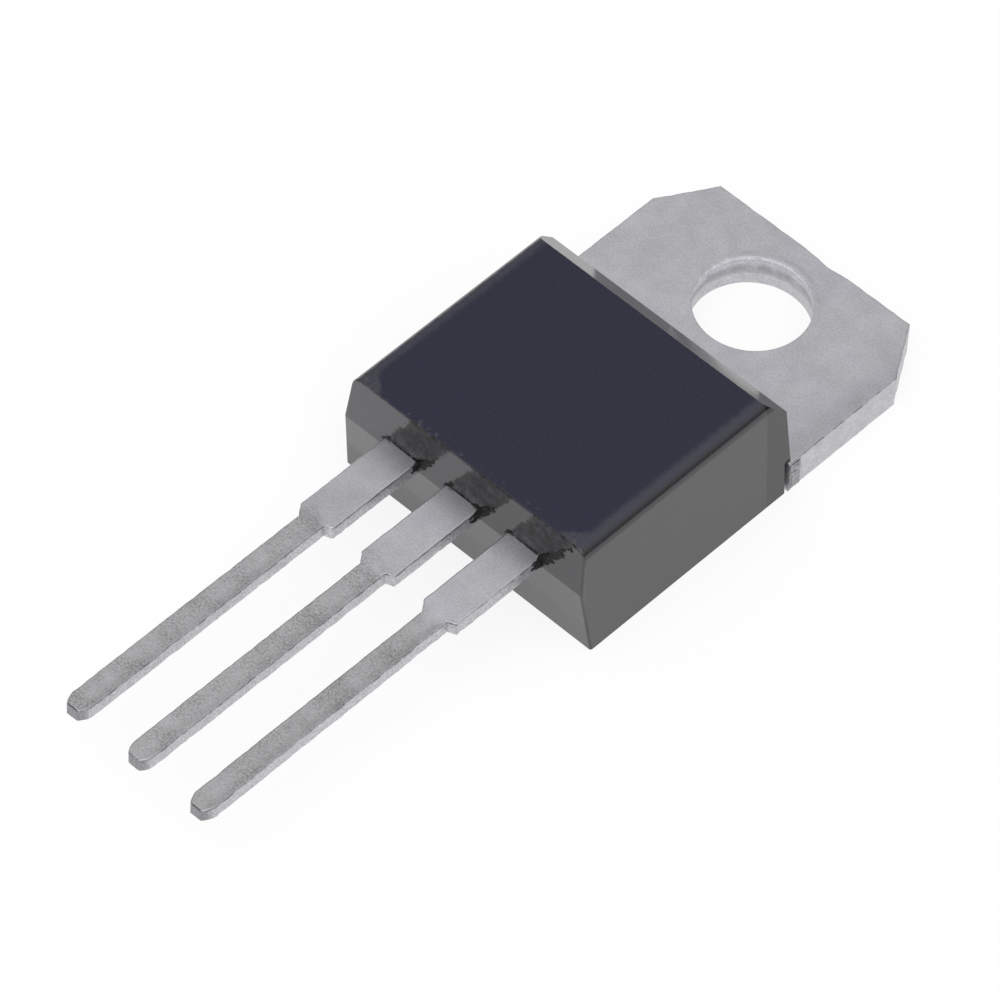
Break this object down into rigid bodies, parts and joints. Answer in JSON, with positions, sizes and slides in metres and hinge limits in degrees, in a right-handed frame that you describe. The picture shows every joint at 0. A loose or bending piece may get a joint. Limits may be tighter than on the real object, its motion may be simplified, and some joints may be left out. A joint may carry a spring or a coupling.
{
  "type": "power transistor",
  "caption": "Power transistor: a black moulded block on a plated metal tab with a fixing hole, and straight flat leads in a row out of the opposite end.",
  "frame": {"origin": "middle of the fixing hole, on the back face", "axes": "+X across the package, +Y from the leads to the free end of the tab, +Z out of the front of the moulding, along the fixing hole"},
  "size_m": [0.0104, 0.0296, 0.0045],
  "materials": {
    "moulding": "black filled epoxy, fine matt top, polished drafted sides",
    "plated_copper": "matt tin plating over copper",
    "solder": "dull lead-rich solder",
    "silicon": "polished chip with an aluminium top layer",
    "wire": "bright drawn aluminium"
  },
  "bodies": {
    "root": {"mould_body": "moulding", "collector_tab": "plated_copper", "base_lead": "plated_copper", "emitter_lead": "plated_copper", "die_solder": "solder", "silicon_die": "silicon", "base_wire": "wire", "emitter_wire": "wire"}
  },
  "joints": []
}
